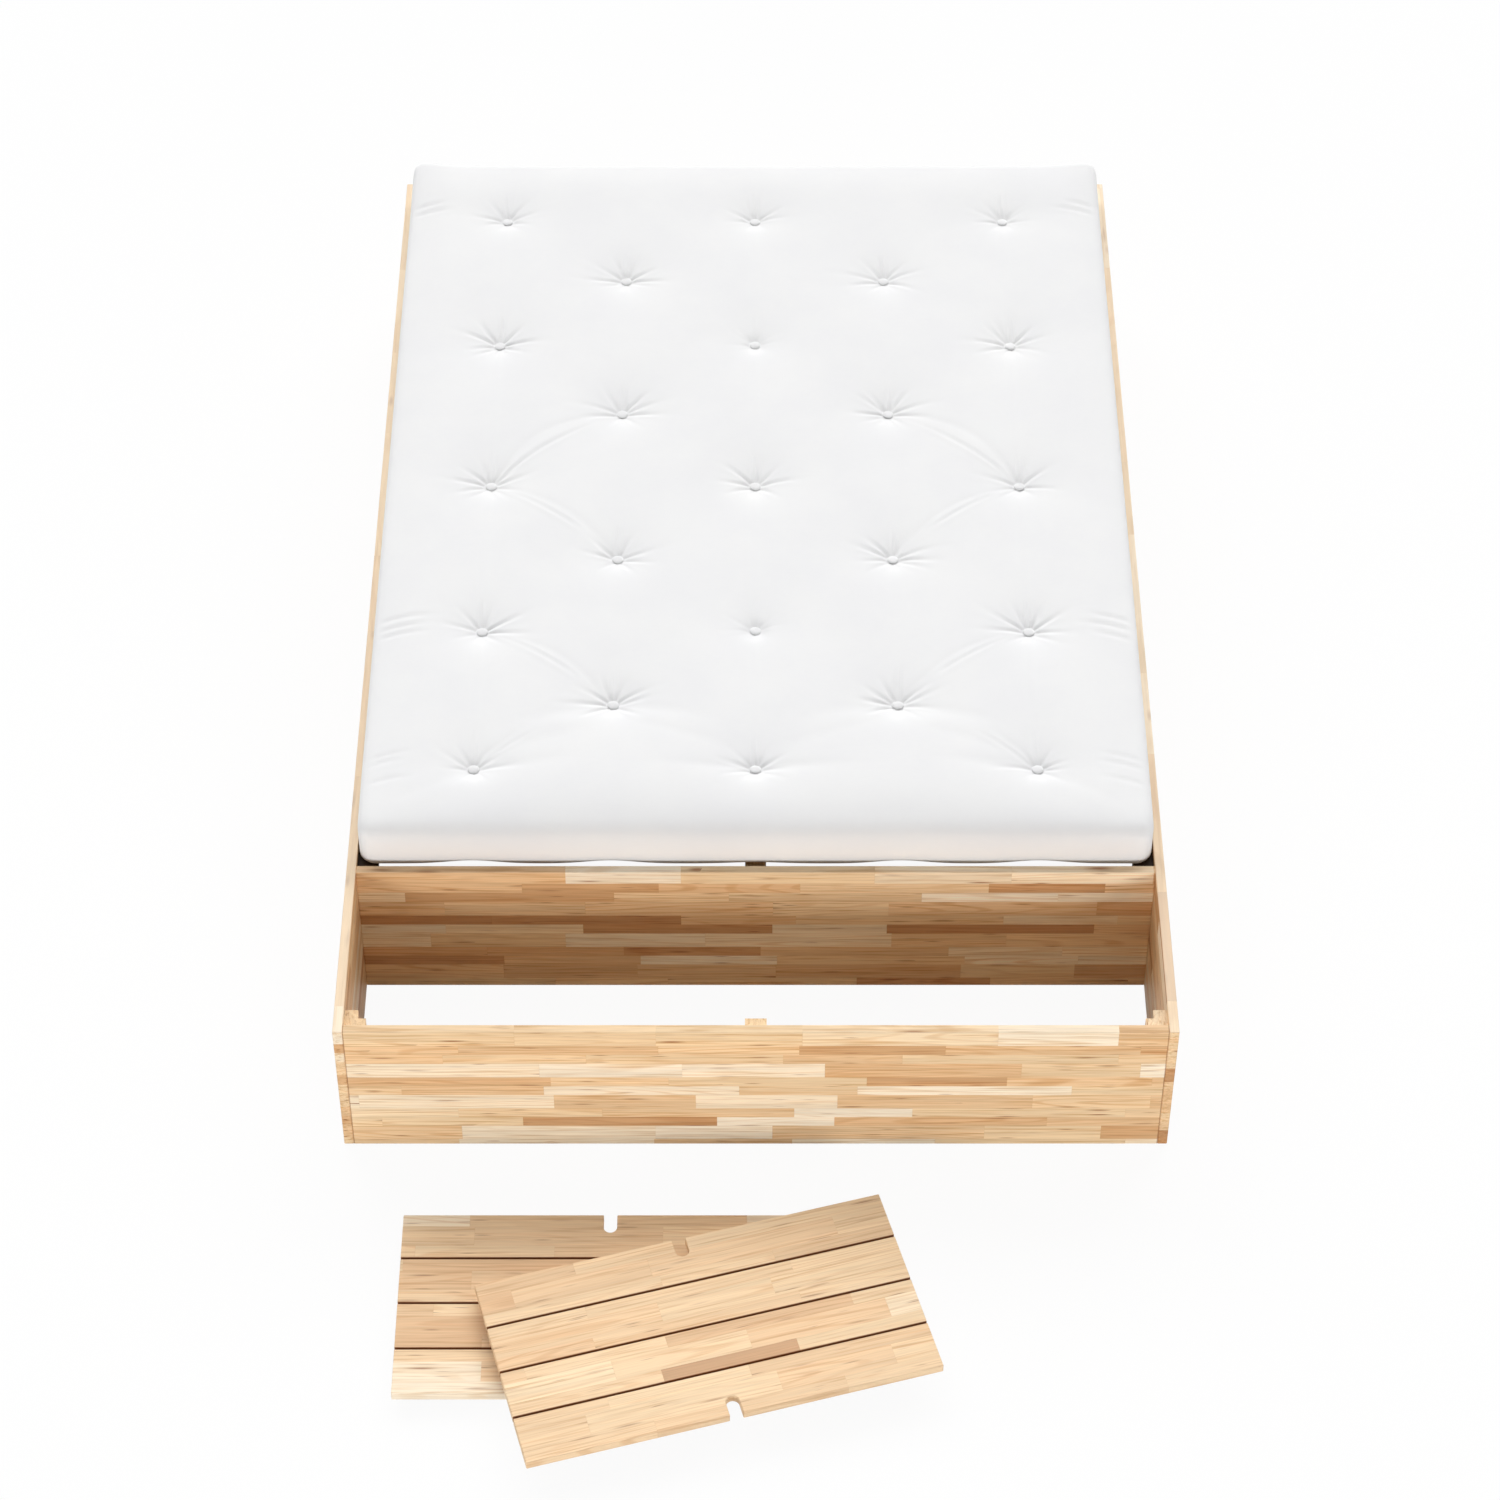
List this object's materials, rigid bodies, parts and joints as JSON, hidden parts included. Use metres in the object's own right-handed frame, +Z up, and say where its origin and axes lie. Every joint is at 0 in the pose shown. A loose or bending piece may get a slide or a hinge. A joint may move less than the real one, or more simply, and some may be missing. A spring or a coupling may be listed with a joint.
{
  "type": "storage bed",
  "caption": "Low wooden double bed with a tufted mattress on slats, an open storage compartment at its foot and loose notched lids lying in front.",
  "frame": {"origin": "on the floor, in the middle of the foot board's underside", "axes": "+Y from the foot of the bed to its head, +Z up, +X to the right seen from the foot"},
  "size_m": [1.556, 3.2291, 0.4213],
  "materials": {
    "stave_board": "satin",
    "post_wood": "matte",
    "slat_wood": "matte",
    "webbing": "matte",
    "bolt": "satin",
    "mattress_cover": "matte",
    "tuft_button": "matte"
  },
  "bodies": {
    "frame": {"centre_beam": "slat_wood", "centre_leg": "slat_wood", "corner_bolts": "bolt", "foot_board": "stave_board", "foot_centre_post": "post_wood", "foot_cleat_left": "post_wood", "foot_cleat_right": "post_wood", "foot_post_left": "post_wood", "foot_post_right": "post_wood", "head_board": "stave_board", "head_centre_post": "post_wood", "head_cleat_left": "post_wood", "head_cleat_right": "post_wood", "head_post_left": "post_wood", "head_post_right": "post_wood", "ledger_left": "slat_wood", "ledger_right": "slat_wood", "partition_board": "stave_board", "partition_centre_post": "post_wood", "partition_cleat_left": "post_wood", "partition_cleat_right": "post_wood", "partition_post_left": "post_wood", "partition_post_right": "post_wood", "side_board_left": "stave_board", "side_board_right": "stave_board", "slat_01": "slat_wood", "slat_02": "slat_wood", "slat_03": "slat_wood", "slat_04": "slat_wood", "slat_05": "slat_wood", "slat_06": "slat_wood", "slat_07": "slat_wood", "slat_08": "slat_wood", "slat_09": "slat_wood", "slat_10": "slat_wood", "slat_11": "slat_wood", "slat_12": "slat_wood", "slat_13": "slat_wood", "slat_strap_left": "webbing", "slat_strap_right": "webbing"},
    "mattress": {"mattress": "mattress_cover", "tuft_buttons": "tuft_button"},
    "lower_lid": {"lower_lid_batten_left": "slat_wood", "lower_lid_batten_right": "slat_wood", "lower_lid_plank_1": "stave_board", "lower_lid_plank_2": "stave_board", "lower_lid_plank_3": "stave_board", "lower_lid_plank_4": "stave_board"},
    "upper_lid": {"upper_lid_batten_left": "slat_wood", "upper_lid_batten_right": "slat_wood", "upper_lid_plank_1": "stave_board", "upper_lid_plank_2": "stave_board", "upper_lid_plank_3": "stave_board", "upper_lid_plank_4": "stave_board"}
  },
  "joints": [
    {"name": "mattress_lift", "type": "slide", "parent": "frame", "child": "mattress", "axis": [0, 0, 1], "range_m": [0, 0.4]},
    {"name": "lower_lid_lift", "type": "slide", "parent": "frame", "child": "lower_lid", "axis": [0, 0, 1], "range_m": [0, 0.35]},
    {"name": "upper_lid_lift", "type": "slide", "parent": "lower_lid", "child": "upper_lid", "axis": [0, 0, 1], "range_m": [0, 0.3]}
  ]
}
